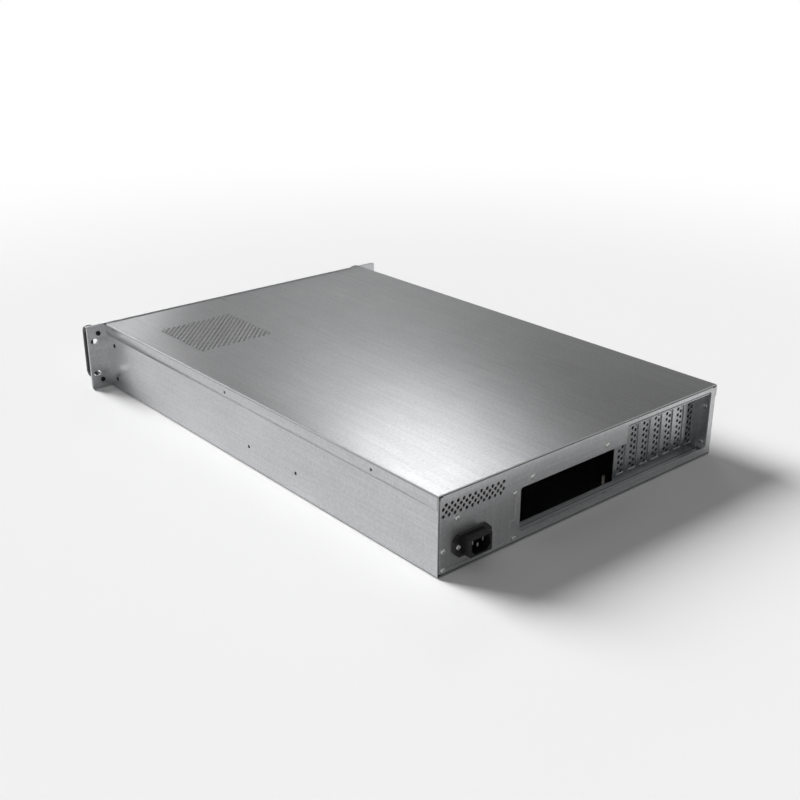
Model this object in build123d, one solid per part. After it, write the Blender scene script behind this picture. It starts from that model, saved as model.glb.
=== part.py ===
from build123d import *
import os

os.makedirs("parts", exist_ok=True)

# Empty 2U rackmount server case in galvanised sheet steel, all sizes in mm.
# X runs across the rack, Y from the front to the back and Z up. The origin is on the ground,
# under the middle of the space that the case takes up.

# Sheet metal
SHEET = 1.2               # steel sheet of the case
BEND = 0.8                # inside radius of a fold
FIT = 0.2                 # gap between the cover's flanges and the side walls
SEAM = 0.3                # gap where edges butt

# Rack standard, which sets the front panel
PANEL_W = 482.6           # over the ears
PANEL_H = 88.1            # two rack units less the usual clearance
RACK_X = PANEL_W - 17.5   # between the rack slots across
RACK_Z = 44.45            # between the rack slots up
RACK_SLOT = (10.0, 6.8)

# Case
EAR = 26.3                # width of a rack ear beyond the body
BODY_W = PANEL_W - 2 * EAR
BODY_H = PANEL_H - 0.9
DEPTH = 650.0             # from the back of the front panel to the rear face
SIDE = BODY_W / 2
COVER_DROP = 14.7         # height of the cover's side flanges
TRAY_W = BODY_W - 2 * (SHEET + FIT)
TRAY_H = BODY_H - SHEET
INNER_HALF = TRAY_W / 2 - SHEET
LIP = 10.0                # inward lip along the top of a side wall
FOLD = 13.0               # width of the folded joining flanges

# Front panel and its handles
PANEL_T = 2.5
PANEL_CORNER = 3.0
MIDDLE_Z = PANEL_H / 2
HANDLE_X = PANEL_W / 2 - 15.3
HANDLE_PITCH = 64.3       # between the screws of one handle
HANDLE_REACH = 34.0
HANDLE_BAR = 8.0
HANDLE_WIDTH = 12.0
HANDLE_CORNER = 8.5

# Mains inlet
INLET_X, INLET_Z = SIDE - 46.0, 26.0
INLET_PROUD = 12.5        # how far it stands out behind the case
INLET_BODY = (29.0, 20.0)
INLET_FLANGE = (49.0, 24.0, 3.0)
INLET_SCREWS = 40.0
INLET_INSIDE = 18.0       # how far it reaches in from the adapter plate
PIN_SPOTS = tuple((INLET_X + dx, INLET_Z + dz) for dx, dz in ((-7.0, 2.0), (0.0, -2.0), (7.0, 2.0)))

# Rear face and front plane
REAR_Y = (DEPTH + PANEL_T + HANDLE_REACH - INLET_PROUD) / 2
FRONT_Y = REAR_Y - DEPTH

# Motherboard and cards
STANDOFF_H = 9.0
STANDOFF_FLATS = 5.0
BOARD_T = 1.6
BOARD_TOP = SHEET + STANDOFF_H + BOARD_T
RECESS = 17.0             # rear face to the panel with the card slots
IO_FACE_Y = REAR_Y - RECESS
IO_INNER_Y = IO_FACE_Y - SHEET
LEDGE_Z = TRAY_H - 7.8    # top of the ledge under the bracket tabs
SLOT_COUNT = 7
SLOT_PITCH = 20.32
SLOT_LAST_X = 21.1 - SIDE
SLOT_Z = BOARD_TOP + 1.2
SLOT_OPEN = (13.6, LEDGE_Z - SLOT_Z - 6.2)
IO_WINDOW = (158.75, 44.45)
IO_WINDOW_X = SLOT_LAST_X + 134.7   # edge next to the slots
IO_WINDOW_Z = BOARD_TOP - 3.81
BRACKET_T = 0.9
BRACKET_W = 18.4
BRACKET_TAIL_W = 10.2
BRACKET_TAIL = 5.0
BRACKET_TAB = 11.4
TAB_SCREW_Y = IO_FACE_Y + 5.5
BOARD_HOLE_X = IO_WINDOW_X + IO_WINDOW[0] - 3.8
BOARD_HOLE_Y = IO_INNER_Y - 12.27
BOARD_COLS = (0.0, -157.48, -281.94)
BOARD_ROWS = (0.0, -154.94, -227.33)
BOARD_OFFSET = 22.86      # the post beside the window stands further forward

# Stepped window of the rear wall
WINDOW_LEFT = IO_WINDOW_X + IO_WINDOW[0] + 4.25
WINDOW_STEP = IO_WINDOW_X + 1.7
WINDOW_RIGHT = 9.4 - SIDE
WINDOW_Z, WINDOW_LOW_TOP, WINDOW_TOP = 10.5, 59.5, TRAY_H - 6.0
WINDOW_CORNER = 3.0
WALL_RIVETS_X = (WINDOW_LEFT - 16.0, WINDOW_LEFT - 129.3)
WALL_RIVET_Z = WINDOW_LOW_TOP + 7.5
FLOOR_RIVETS_X = (45.0 - SIDE, 175.0 - SIDE)
SIDE_RIVETS_Z = (12.6, 57.7)

# Power supply cut-out and its adapter plate
CUT_LEFT, CUT_RIGHT, CUT_STEP = SIDE - 12.0, WINDOW_LEFT + 6.2, WINDOW_LEFT + 13.2
CUT_Z, CUT_STEP_Z, CUT_TOP = 6.0, 27.0, TRAY_H - 33.0
PLATE_X = (WINDOW_LEFT + 2.7, SIDE - 4.5)
PLATE_Z = (2.8, CUT_TOP + 8.5)
PLATE_SCREWS = (
    (SIDE - 8.0, 7.2),
    (SIDE - 8.0, 27.6),
    (SIDE - 25.5, CUT_TOP + 4.0),
    (WINDOW_LEFT + 8.6, CUT_TOP + 4.0),
    (WINDOW_LEFT + 8.1, 6.8),
)

# Perforations: rows of holes, every other row moved half a pitch
VENT_PITCH = 7.5
VENT_HOLE = 3.6
TOP_VENT_X, TOP_VENT_Y = SIDE - 93.0, FRONT_Y + 123.75
TOP_VENT_ROWS, TOP_VENT_HOLES = 28, 14
REAR_VENT_X, REAR_VENT_Z = SIDE - 47.5, TRAY_H - 17.0
REAR_VENT_ROWS = 4
REAR_VENT_HOLES = int((CUT_LEFT - WINDOW_LEFT - 16.0) / VENT_PITCH)
BRACKET_VENT_PITCH = 7.2
BRACKET_VENT_STEP = 5.2
BRACKET_VENT_HOLES = 8

# Cover screw holes and rail holes
COVER_HOLE_Z = BODY_H - 8.2
COVER_HOLES_Y = (FRONT_Y + 290.7, REAR_Y - 95.7)
COVER_FRONT_HOLE = (39.5, FRONT_Y + 10.5)
RAIL_HOLES_Y = (FRONT_Y + 333.8, FRONT_Y + 423.8)
RAIL_HOLE_Z = 26.0
RAIL_HOLE_R = 2.0

# Screws
M3_R = 1.45
M3_THREAD_R = 1.5
M3_CLEAR_R = 1.7
PAN_R, PAN_H = 2.9, 1.9
RIVET_R = 1.6
RIVET_HEAD_R, RIVET_HEAD_H = 3.0, 0.9
SIDE_SCREW_Y = FRONT_Y + 18.4
SIDE_SCREW_Z = (14.4, TRAY_H - 25.6)
BRACKET_TOP = TRAY_H - 14.0
SIDE_HEAD_R, SIDE_HEAD_H = 2.8, 0.8
HANDLE_HEAD_R, HANDLE_HEAD_H = 3.25, 2.0
HANDLE_SCREW_R = 1.95

# Front controls and intake
CONTROL_X = 39.0 - SIDE
POWER_Z, RESET_Z = MIDDLE_Z + 17.95, MIDDLE_Z - 2.05
POWER_R, RESET_R = 6.0, 3.0
BUTTON_GAP = 0.3
BUTTON_PROUD = 2.0
BUTTON_TRAVEL = 1.5
LED_Z = (POWER_Z + 4.0, POWER_Z - 1.2)
LED_X = CONTROL_X + 14.0
LED_R = 1.5
USB_X, USB_Z, USB_PITCH = CONTROL_X, RESET_Z - 22.0, 18.0
USB_SIZE = (13.1, 5.7, 14.0)
CONTROL_BOARD_Y = FRONT_Y + 14.0
SPACER_R = 2.5
SPACER_SPOTS = ((CONTROL_X - 14.0, POWER_Z), (CONTROL_X + 14.0, RESET_Z - 8.0))
INTAKE_SLOT = (3.5, PANEL_H - 32.1)
INTAKE_PITCH = 8.0
INTAKE_COUNT = 16
INTAKE_X = CONTROL_X + 136.0

# Inner brackets
PSU_BRACKET_Y = FRONT_Y + 190.0
PSU_BRACKET_X = (TOP_VENT_X - 72.0, TOP_VENT_X + 73.0)
PSU_BRACKET_TOP = 70.0
PSU_OPEN = (104.0, 42.0)
PSU_HOLES = (113.0, 51.5)
PSU_HOLE_R = 2.0
PSU_CENTRE = (TOP_VENT_X, 35.0)
CAGE_X = 85.0 - SIDE
CAGE_INNER = 102.4
CAGE_Y = (FRONT_Y + 60.0, FRONT_Y + 208.0)
CAGE_H = 62.0
CAGE_SLOT = (44.0, 4.0)
CAGE_SLOT_Z = (9.0, 36.0)
CAGE_FOOT = 12.0


def block(x, y, z):
    """Box between pairs of limits."""
    x0, x1 = sorted(x)
    y0, y1 = sorted(y)
    z0, z1 = sorted(z)
    size = Box(x1 - x0, y1 - y0, z1 - z0, align=(Align.MIN, Align.MIN, Align.MIN))
    return Pos(x0, y0, z0) * size


def rod_x(x, y, z, r):
    """Round bar along X between two limits."""
    bar = Rot(0, 90, 0) * Cylinder(r, abs(x[1] - x[0]))
    return Pos((x[0] + x[1]) / 2, y, z) * bar


def rod_y(x, y, z, r):
    """Round bar along Y between two limits."""
    bar = Rot(90, 0, 0) * Cylinder(r, abs(y[1] - y[0]))
    return Pos(x, (y[0] + y[1]) / 2, z) * bar


def rod_z(x, y, z, r):
    """Round bar along Z between two limits."""
    return Pos(x, y, (z[0] + z[1]) / 2) * Cylinder(r, abs(z[1] - z[0]))


def stagger(rows, count, pitch, step):
    """Centres of a perforated field, every other row moved half a pitch."""
    spots = []
    for row in range(rows):
        shift = pitch / 4 if row % 2 else -pitch / 4
        for hole in range(count):
            u = (hole - (count - 1) / 2) * pitch + shift
            v = (row - (rows - 1) / 2) * step
            spots.append((u, v))
    return spots


def punches(plane, spots, size, depth):
    """Punched holes of a perforated field; four-sided, with the area of the round ones."""
    side = size * 0.886
    holes = Sketch() + [Pos(u, v) * Rectangle(side, side, rotation=45) for u, v in spots]
    return extrude(plane * holes, depth, both=True)


def countersunk_x(x, y, z, r, out):
    """Hole along X with a sunk mouth on the side that out points to."""
    hole = rod_x((x - 3 * out, x + 3 * out), y, z, r)
    sink = Cone(r + 0.1, r + 1.0, 0.8)
    return hole + Pos(x - 0.4 * out, y, z) * Rot(0, 90 * out, 0) * sink


def cover_section():
    """Channel section of the cover, open downwards."""
    height = COVER_DROP
    outer = Rectangle(BODY_W, height, align=(Align.CENTER, Align.MAX))
    outer = fillet(outer.vertices().group_by(Axis.Y)[-1], BEND + SHEET)
    inner = Pos(0, -SHEET) * Rectangle(BODY_W - 2 * SHEET, height, align=(Align.CENTER, Align.MAX))
    inner = fillet(inner.vertices().group_by(Axis.Y)[-1], BEND)
    return outer - inner


def top_cover():
    """Folded lid sheet with the perforated field and the screw holes."""
    length = DEPTH - SEAM
    sheet = extrude(Plane.XZ * cover_section(), length, dir=(0, 1, 0))
    sheet = Pos(0, REAR_Y - length, BODY_H) * sheet
    field = stagger(TOP_VENT_ROWS, TOP_VENT_HOLES, VENT_PITCH, VENT_PITCH / 2)
    top = Plane((TOP_VENT_X, TOP_VENT_Y, BODY_H))
    sheet -= punches(top, field, VENT_HOLE, 2 * SHEET)
    for y in COVER_HOLES_Y:
        sheet -= countersunk_x(BODY_W / 2, y, COVER_HOLE_Z, M3_CLEAR_R, 1)
        sheet -= countersunk_x(-BODY_W / 2, y, COVER_HOLE_Z, M3_CLEAR_R, -1)
    x, y = COVER_FRONT_HOLE
    sheet -= rod_z(x, y, (BODY_H - 2 * SHEET, BODY_H + 1), M3_CLEAR_R)
    sheet -= Pos(x, y, BODY_H - 0.4) * Cone(M3_CLEAR_R + 0.1, M3_CLEAR_R + 1.0, 0.8)
    return sheet


def tray_section():
    """Floor, side walls and the lips along their tops."""
    outer = Rectangle(TRAY_W, TRAY_H, align=(Align.CENTER, Align.MIN))
    outer = fillet(outer.vertices(), BEND + SHEET)
    inner = Pos(0, SHEET) * Rectangle(2 * INNER_HALF, TRAY_H - 2 * SHEET, align=(Align.CENTER, Align.MIN))
    inner = fillet(inner.vertices(), BEND)
    mouth = Pos(0, TRAY_H - SHEET) * Rectangle(2 * (INNER_HALF - LIP), 3 * SHEET)
    return outer - inner - mouth


def chassis_tray():
    """Floor and side walls, one folded sheet."""
    tray = Pos(0, FRONT_Y, 0) * extrude(Plane.XZ * tray_section(), DEPTH, dir=(0, 1, 0))
    reach = FOLD + SEAM
    for y in ((FRONT_Y - 1, FRONT_Y + reach), (REAR_Y - reach, REAR_Y + 1)):
        for side in (1, -1):
            tray -= block((side * (INNER_HALF - LIP - 1), side * INNER_HALF), y, (TRAY_H - 2 * SHEET, TRAY_H + 1))
    for side in (1, -1):
        wall = (side * (INNER_HALF - 2), side * (TRAY_W / 2 + 2))
        for y in COVER_HOLES_Y:
            tray -= rod_x(wall, y, COVER_HOLE_Z, M3_THREAD_R)
        for y in RAIL_HOLES_Y:
            tray -= rod_x(wall, y, RAIL_HOLE_Z, RAIL_HOLE_R)
        for z in SIDE_SCREW_Z:
            tray -= rod_x(wall, SIDE_SCREW_Y, z, M3_CLEAR_R)
    for spot in recess_rivet_spots("side"):
        tray -= rod_x((-INNER_HALF + 1, -TRAY_W / 2 - 1), spot[1], spot[2], RIVET_R + 0.05)
    for spot in recess_rivet_spots("floor"):
        tray -= rod_z(spot[0], spot[1], (-1, SHEET + 1), RIVET_R + 0.05)
    return tray


def recess_rivet_spots(where):
    """Places of the rivets of the recessed panel."""
    if where == "wall":
        return [(x, REAR_Y, WALL_RIVET_Z) for x in WALL_RIVETS_X]
    if where == "floor":
        return [(x, REAR_Y - 10.0, SHEET) for x in FLOOR_RIVETS_X]
    return [(-INNER_HALF, REAR_Y - 9.8, z) for z in SIDE_RIVETS_Z]


def window_cut():
    """Stepped window of the rear wall."""
    low = block((WINDOW_LEFT, WINDOW_STEP - 10), (-2, 2), (WINDOW_Z, WINDOW_LOW_TOP))
    high = block((WINDOW_STEP, WINDOW_RIGHT), (-2, 2), (WINDOW_Z, WINDOW_TOP))
    shape = low + high
    corners = shape.edges().filter_by(Axis.Y)
    return Pos(0, REAR_Y, 0) * fillet(corners, WINDOW_CORNER)


def supply_cut():
    """Power supply cut-out with its stepped corner."""
    high = block((CUT_LEFT, CUT_RIGHT), (-2, 2), (CUT_Z, CUT_TOP))
    low = block((CUT_STEP, CUT_RIGHT - 1), (-3, 3), (CUT_Z - 1, CUT_STEP_Z))
    shape = high - low
    return Pos(0, REAR_Y, 0) * fillet(shape.edges().filter_by(Axis.Y), 1.0)


def rear_wall():
    """Outer rear sheet with folded flanges, vents and both openings."""
    half = INNER_HALF - 0.1
    outer = block((-half, half), (REAR_Y - FOLD, REAR_Y), (SHEET, TRAY_H))
    outer = fillet(outer.edges().filter_by(Axis.Y), BEND + SHEET + 0.2)
    outer = fillet(outer.edges().group_by(Axis.Y)[-1], BEND + SHEET - 0.1)
    inner = block((-half + SHEET, half - SHEET), (REAR_Y - FOLD - 1, REAR_Y - SHEET), (2 * SHEET, TRAY_H - SHEET))
    wall = outer - inner
    folds = (REAR_Y - FOLD - 1, REAR_Y - 2 * SHEET)
    for side in (1, -1):
        for z in ((0, 5.0), (TRAY_H - 5.0, TRAY_H + 1)):
            wall -= block((side * (half - 5.0), side * (half + 1)), folds, z)
    wall -= block((PLATE_X[0] + 3, -half - 1), (REAR_Y - FOLD - 1, REAR_Y - SHEET), (0, LEDGE_Z + 3))
    face = Plane((REAR_VENT_X, REAR_Y, REAR_VENT_Z), x_dir=(-1, 0, 0), z_dir=(0, 1, 0))
    field = stagger(REAR_VENT_ROWS, REAR_VENT_HOLES, VENT_PITCH, VENT_PITCH / 2)
    wall -= punches(face, field, VENT_HOLE, 2 * SHEET)
    wall -= window_cut() + supply_cut()
    for x, z in PLATE_SCREWS:
        wall -= rod_y(x, (REAR_Y - 3, REAR_Y + 1), z, M3_CLEAR_R)
    for x, y, z in recess_rivet_spots("wall"):
        wall -= rod_y(x, (REAR_Y - 3, REAR_Y + 1), z, RIVET_R + 0.05)
    return wall


def slot_x(index):
    """Middle of a card slot, the first one next to the window."""
    return SLOT_LAST_X + (SLOT_COUNT - 1 - index) * SLOT_PITCH


def io_panel():
    """Recessed rear sheet with the motherboard window and the card slots."""
    left, right = PLATE_X[0] - 0.5, -(INNER_HALF - 0.1)
    back = REAR_Y - SHEET - 0.1
    outer = block((left, right), (IO_INNER_Y, back), (SHEET, LEDGE_Z))
    outer = fillet(outer.edges().group_by(Axis.Y)[0].filter_by(Axis.X), BEND + SHEET)
    inner = block((left + 1, right + SHEET), (IO_FACE_Y, back + 1), (2 * SHEET, LEDGE_Z - SHEET))
    inner = fillet(inner.edges().group_by(Axis.Y)[0].filter_by(Axis.X), BEND)
    panel = outer - inner
    corner = (IO_FACE_Y + SHEET, back + 1)
    panel -= block((right - 1, right + 4), corner, (0, 5.0))
    panel -= block((right - 1, right + BEND), (IO_INNER_Y - 1, back + 1), (0, SHEET + BEND))
    panel -= block((right - 1, right + 4), corner, (LEDGE_Z - 4, LEDGE_Z + 1))
    panel += block((WINDOW_LEFT - 3, WINDOW_STEP + 8), (back - SHEET, back), (WINDOW_LOW_TOP + 2, LEDGE_Z - 0.5))
    through = (IO_INNER_Y - 2, IO_FACE_Y + 2)
    width, height = IO_WINDOW
    panel -= block((IO_WINDOW_X, IO_WINDOW_X + width), through, (IO_WINDOW_Z, IO_WINDOW_Z + height))
    for index in range(SLOT_COUNT):
        x = slot_x(index)
        half = SLOT_OPEN[0] / 2
        panel -= block((x - half, x + half), through, (SLOT_Z, SLOT_Z + SLOT_OPEN[1]))
        panel -= rod_z(x, TAB_SCREW_Y, (LEDGE_Z - 3, LEDGE_Z + 1), M3_THREAD_R)
    for x, y, z in recess_rivet_spots("wall"):
        panel -= rod_y(x, (back - 3, back + 1), z, RIVET_R + 0.05)
    for x, y, z in recess_rivet_spots("floor"):
        panel -= rod_z(x, y, (0, 3 * SHEET), RIVET_R + 0.05)
    for x, y, z in recess_rivet_spots("side"):
        panel -= rod_x((right - 1, right + 3), y, z, RIVET_R + 0.05)
    return panel


def slot_cover(index):
    """Perforated blank bracket, its tab on the ledge and its tail at the floor."""
    x = slot_x(index)
    top = LEDGE_Z + BRACKET_T
    front, back = IO_INNER_Y - BRACKET_T, IO_INNER_Y
    plate = block((x - BRACKET_W / 2, x + BRACKET_W / 2), (front, IO_FACE_Y + BRACKET_TAB), (2.0, top))
    hollow = block((x - BRACKET_W, x + BRACKET_W), (back, IO_FACE_Y + BRACKET_TAB + 1), (0, LEDGE_Z))
    bracket = plate - hollow
    for side in (1, -1):
        edge = x + side * BRACKET_TAIL_W / 2
        bracket -= block((edge, edge + side * BRACKET_W), (front - 1, back + 1), (0, 2.0 + BRACKET_TAIL))
    notch = (TAB_SCREW_Y, IO_FACE_Y + BRACKET_TAB + 1)
    bracket -= block((x - M3_CLEAR_R, x + M3_CLEAR_R), notch, (LEDGE_Z - 1, top + 1))
    bracket -= rod_z(x, TAB_SCREW_Y, (LEDGE_Z - 1, top + 1), M3_CLEAR_R)
    face = Plane((x, IO_INNER_Y, SLOT_Z + SLOT_OPEN[1] / 2), x_dir=(0, 0, 1), z_dir=(0, 1, 0))
    field = stagger(2, BRACKET_VENT_HOLES, BRACKET_VENT_PITCH, BRACKET_VENT_STEP)
    return bracket - punches(face, field, VENT_HOLE, 2 * SHEET)


def slot_screws():
    """Hexagon-head screws of the bracket tabs."""
    seat = LEDGE_Z + BRACKET_T
    screws = []
    for index in range(SLOT_COUNT):
        head = Pos(0, 0, seat) * extrude(RegularPolygon(3.1, 6), 2.4)
        shank = rod_z(0, 0, (seat - 4.0, seat + 0.5), M3_R)
        screws.append(Pos(slot_x(index), TAB_SCREW_Y, 0) * (head + shank))
    return Compound(children=[s.solid() for s in screws])


def psu_plate():
    """Adapter plate behind the power supply cut-out, cut for the inlet."""
    back = REAR_Y - SHEET
    plate = block(PLATE_X, (back - SHEET, back), PLATE_Z)
    width, height = INLET_BODY[0] - 2 * 0.9, INLET_BODY[1] - 0.4
    plate -= Pos(INLET_X, back, INLET_Z) * Box(width, 4, height)
    for x, z in PLATE_SCREWS:
        plate -= rod_y(x, (back - 3, back + 1), z, M3_THREAD_R)
    for side in (1, -1):
        plate -= rod_y(INLET_X + side * INLET_SCREWS / 2, (back - 3, back + 1), INLET_Z, M3_THREAD_R)
    return plate


def plate_screws():
    """Bright pan-head screws of the adapter plate."""
    screws = []
    for x, z in PLATE_SCREWS:
        head = rod_y(x, (REAR_Y, REAR_Y + PAN_H), z, PAN_R)
        screws.append((head + rod_y(x, (REAR_Y - 5.0, REAR_Y + 0.5), z, M3_R)).solid())
    return Compound(children=screws)


def socket_outline(width, height, bevel):
    """Outline of the appliance socket, its two lower corners cut off."""
    outline = Rectangle(width, height)
    return chamfer(outline.vertices().group_by(Axis.Y)[0], bevel)


def mains_inlet():
    """Moulded appliance inlet: flange, hood, socket and the body inside the case."""
    seat = REAR_Y - SHEET
    mouth = REAR_Y + INLET_PROUD
    rear = Plane((INLET_X, seat, INLET_Z), x_dir=(-1, 0, 0), z_dir=(0, 1, 0))
    width, height, thick = INLET_FLANGE
    flange = chamfer(Rectangle(width, height).vertices(), 6.0)
    hood = RectangleRounded(*INLET_BODY, 1.5)
    inlet = extrude(rear * flange, thick) + extrude(rear * hood, mouth - seat)
    core = Rectangle(INLET_BODY[0] - 2.0, INLET_BODY[1] - 0.8)
    inlet += extrude(rear * core, -INLET_INSIDE)
    socket = extrude(rear.offset(mouth - seat) * socket_outline(24.4, 16.2, 4.5), -16.0)
    inlet -= socket
    for side in (1, -1):
        x = INLET_X + side * INLET_SCREWS / 2
        inlet -= rod_y(x, (seat - 1, seat + thick + 1), INLET_Z, M3_CLEAR_R)
    for x, z in PIN_SPOTS:
        inlet -= block((x - 1.05, x + 1.05), (seat - INLET_INSIDE - 1, mouth - 15), (z - 2.05, z + 2.05))
    return inlet


def inlet_pins():
    """Live, neutral and earth pins with their tails inside the case."""
    tail = REAR_Y - SHEET - INLET_INSIDE - 7.0
    tip = REAR_Y + INLET_PROUD - 5.0
    pins = []
    for x, z in PIN_SPOTS:
        pins.append(block((x - 1.0, x + 1.0), (tail, tip), (z - 2.0, z + 2.0)).solid())
    return Compound(children=pins)


def inlet_screws():
    """Two screws through the flange into the adapter plate."""
    seat = REAR_Y - SHEET + INLET_FLANGE[2]
    screws = []
    for side in (1, -1):
        x = INLET_X + side * INLET_SCREWS / 2
        head = rod_y(x, (seat, seat + 1.6), INLET_Z, PAN_R)
        screws.append((head + rod_y(x, (seat - 6.0, seat + 0.5), INLET_Z, M3_R)).solid())
    return Compound(children=screws)


def recess_rivets():
    """Six rivets, each with a flat head on both sides of its two sheets."""
    grip = 2 * SHEET + 0.1
    rivets = []
    for x, y, z in recess_rivet_spots("wall"):
        shape = rod_y(x, (y, y + RIVET_HEAD_H), z, RIVET_HEAD_R) + rod_y(x, (y - grip - 0.8, y), z, RIVET_R)
        rivets.append(shape.solid())
    for x, y, z in recess_rivet_spots("floor"):
        top = z + SHEET
        shape = rod_z(x, y, (top, top + RIVET_HEAD_H), RIVET_HEAD_R) + rod_z(x, y, (0.1, top), RIVET_R)
        rivets.append(shape.solid())
    for x, y, z in recess_rivet_spots("side"):
        face = x + 0.1 + SHEET
        shape = rod_x((face, face + RIVET_HEAD_H), y, z, RIVET_HEAD_R)
        shape += rod_x((face - grip - 0.4, face), y, z, RIVET_R)
        rivets.append(shape.solid())
    return Compound(children=rivets)


def front_panel():
    """Front plate with the rack ears, the intake slots and the openings for the controls."""
    face = Plane((0, FRONT_Y, MIDDLE_Z), x_dir=(1, 0, 0), z_dir=(0, -1, 0))
    sketch = RectangleRounded(PANEL_W, PANEL_H, PANEL_CORNER)
    slots = [Pos(u, v) * SlotOverall(*RACK_SLOT) for u in (-RACK_X / 2, RACK_X / 2) for v in (-RACK_Z / 2, RACK_Z / 2)]
    screws = [Pos(u, v) * Circle(2.2) for u in (-HANDLE_X, HANDLE_X) for v in (-HANDLE_PITCH / 2, HANDLE_PITCH / 2)]
    sketch = sketch - slots - screws
    first = INTAKE_X - (INTAKE_COUNT - 1) / 2 * INTAKE_PITCH
    sketch -= [Pos(first + i * INTAKE_PITCH, 0) * Rectangle(*INTAKE_SLOT) for i in range(INTAKE_COUNT)]
    up = MIDDLE_Z
    sketch -= Pos(CONTROL_X, POWER_Z - up) * Circle(POWER_R + BUTTON_GAP)
    sketch -= Pos(CONTROL_X, RESET_Z - up) * Circle(RESET_R + BUTTON_GAP)
    sketch -= [Pos(LED_X, z - up) * Circle(LED_R + 0.05) for z in LED_Z]
    sketch -= [Pos(x, USB_Z - up) * Rectangle(USB_SIZE[0] + 0.4, USB_SIZE[1] + 0.4) for x in usb_spots()]
    return extrude(face * sketch, PANEL_T)


def usb_spots():
    """Middles of the two sockets across the panel."""
    return (USB_X - USB_PITCH / 2, USB_X + USB_PITCH / 2)


def handle(side):
    """Bow handle in front of one ear."""
    height = HANDLE_PITCH + HANDLE_BAR
    face = FRONT_Y - PANEL_T
    outer = RectangleRounded(2 * HANDLE_REACH, height, HANDLE_CORNER)
    inner = RectangleRounded(2 * (HANDLE_REACH - HANDLE_BAR), height - 2 * HANDLE_BAR, HANDLE_CORNER - 4.5)
    bow = (outer - inner) & (Pos(HANDLE_REACH / 2, 0) * Rectangle(HANDLE_REACH, height))
    plane = Plane((side * HANDLE_X, face, MIDDLE_Z), x_dir=(0, -1, 0), z_dir=(1, 0, 0))
    bow = extrude(plane * bow, HANDLE_WIDTH / 2, both=True)
    bow = fillet(bow.edges().group_by(Axis.Y)[0].filter_by(Axis.Z), 1.5)
    for z in (MIDDLE_Z - HANDLE_PITCH / 2, MIDDLE_Z + HANDLE_PITCH / 2):
        bow -= rod_y(side * HANDLE_X, (face - 12.0, face + 1), z, 2.0)
    return bow


def handle_screws():
    """Four black screws from behind the ears into the handles."""
    screws = []
    for x in (-HANDLE_X, HANDLE_X):
        for z in (MIDDLE_Z - HANDLE_PITCH / 2, MIDDLE_Z + HANDLE_PITCH / 2):
            head = rod_y(x, (FRONT_Y, FRONT_Y + HANDLE_HEAD_H), z, HANDLE_HEAD_R)
            shank = rod_y(x, (FRONT_Y - PANEL_T - 9.0, FRONT_Y + 0.5), z, HANDLE_SCREW_R)
            screws.append((head + shank).solid())
    return Compound(children=screws)


def side_screws():
    """Four flat black screws from the side walls into the front brackets."""
    screws = []
    for side in (1, -1):
        wall = TRAY_W / 2
        for z in SIDE_SCREW_Z:
            head = rod_x((side * wall, side * (wall + SIDE_HEAD_H)), SIDE_SCREW_Y, z, SIDE_HEAD_R)
            shank = rod_x((side * (wall - 5.0), side * (wall + 0.3)), SIDE_SCREW_Y, z, M3_R)
            screws.append((head + shank).solid())
    return Compound(children=screws)


def front_bracket(side):
    """Angle between one side wall and the front panel."""
    wall = side * INNER_HALF
    outer = block((wall, wall - side * 14.0), (FRONT_Y, FRONT_Y + 28.0), (5.0, BRACKET_TOP))
    inner = block((wall - side * SHEET, wall - side * 15.0), (FRONT_Y + SHEET, FRONT_Y + 29.0), (4.0, BRACKET_TOP + 1))
    angle = outer - inner
    corner = angle.edges().filter_by(Axis.Z).sort_by_distance((wall, FRONT_Y, 38.0))[0]
    angle = fillet(corner, BEND + SHEET)
    for z in SIDE_SCREW_Z:
        angle -= rod_x((wall + side, wall - 3 * side), SIDE_SCREW_Y, z, M3_THREAD_R)
    return angle


def front_crossbar():
    """Folded bar under the front edge of the cover."""
    half = INNER_HALF - 0.1
    outer = block((-half, half), (FRONT_Y, FRONT_Y + FOLD), (TRAY_H - 11.0, TRAY_H))
    outer = fillet(outer.edges().filter_by(Axis.X).group_by(Axis.Y)[0].group_by(Axis.Z)[-1], BEND + SHEET)
    inner = block((-half - 1, half + 1), (FRONT_Y + SHEET, FRONT_Y + FOLD + 1), (TRAY_H - 12.0, TRAY_H - SHEET))
    bar = outer - inner
    corners = bar.edges().filter_by(Axis.Y).group_by(Axis.Z)[-1]
    bar = fillet(corners, BEND + 0.2)
    x, y = COVER_FRONT_HOLE
    return bar - rod_z(x, y, (TRAY_H - 3, TRAY_H + 1), M3_THREAD_R)


def board_spots():
    """Places of the nine motherboard posts."""
    spots = []
    for row, dy in enumerate(BOARD_ROWS):
        for col, dx in enumerate(BOARD_COLS):
            shift = BOARD_OFFSET if row == 0 and col == 0 else 0.0
            spots.append((BOARD_HOLE_X + dx, BOARD_HOLE_Y + dy - shift))
    return spots


def board_standoffs():
    """Nine threaded hexagonal posts on the floor."""
    post = extrude(RegularPolygon(STANDOFF_FLATS / 2, 6, major_radius=False), STANDOFF_H)
    post -= rod_z(0, 0, (2.0, STANDOFF_H + 1), 1.25)
    return Compound(children=[(Pos(x, y, SHEET) * post).solid() for x, y in board_spots()])


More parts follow.
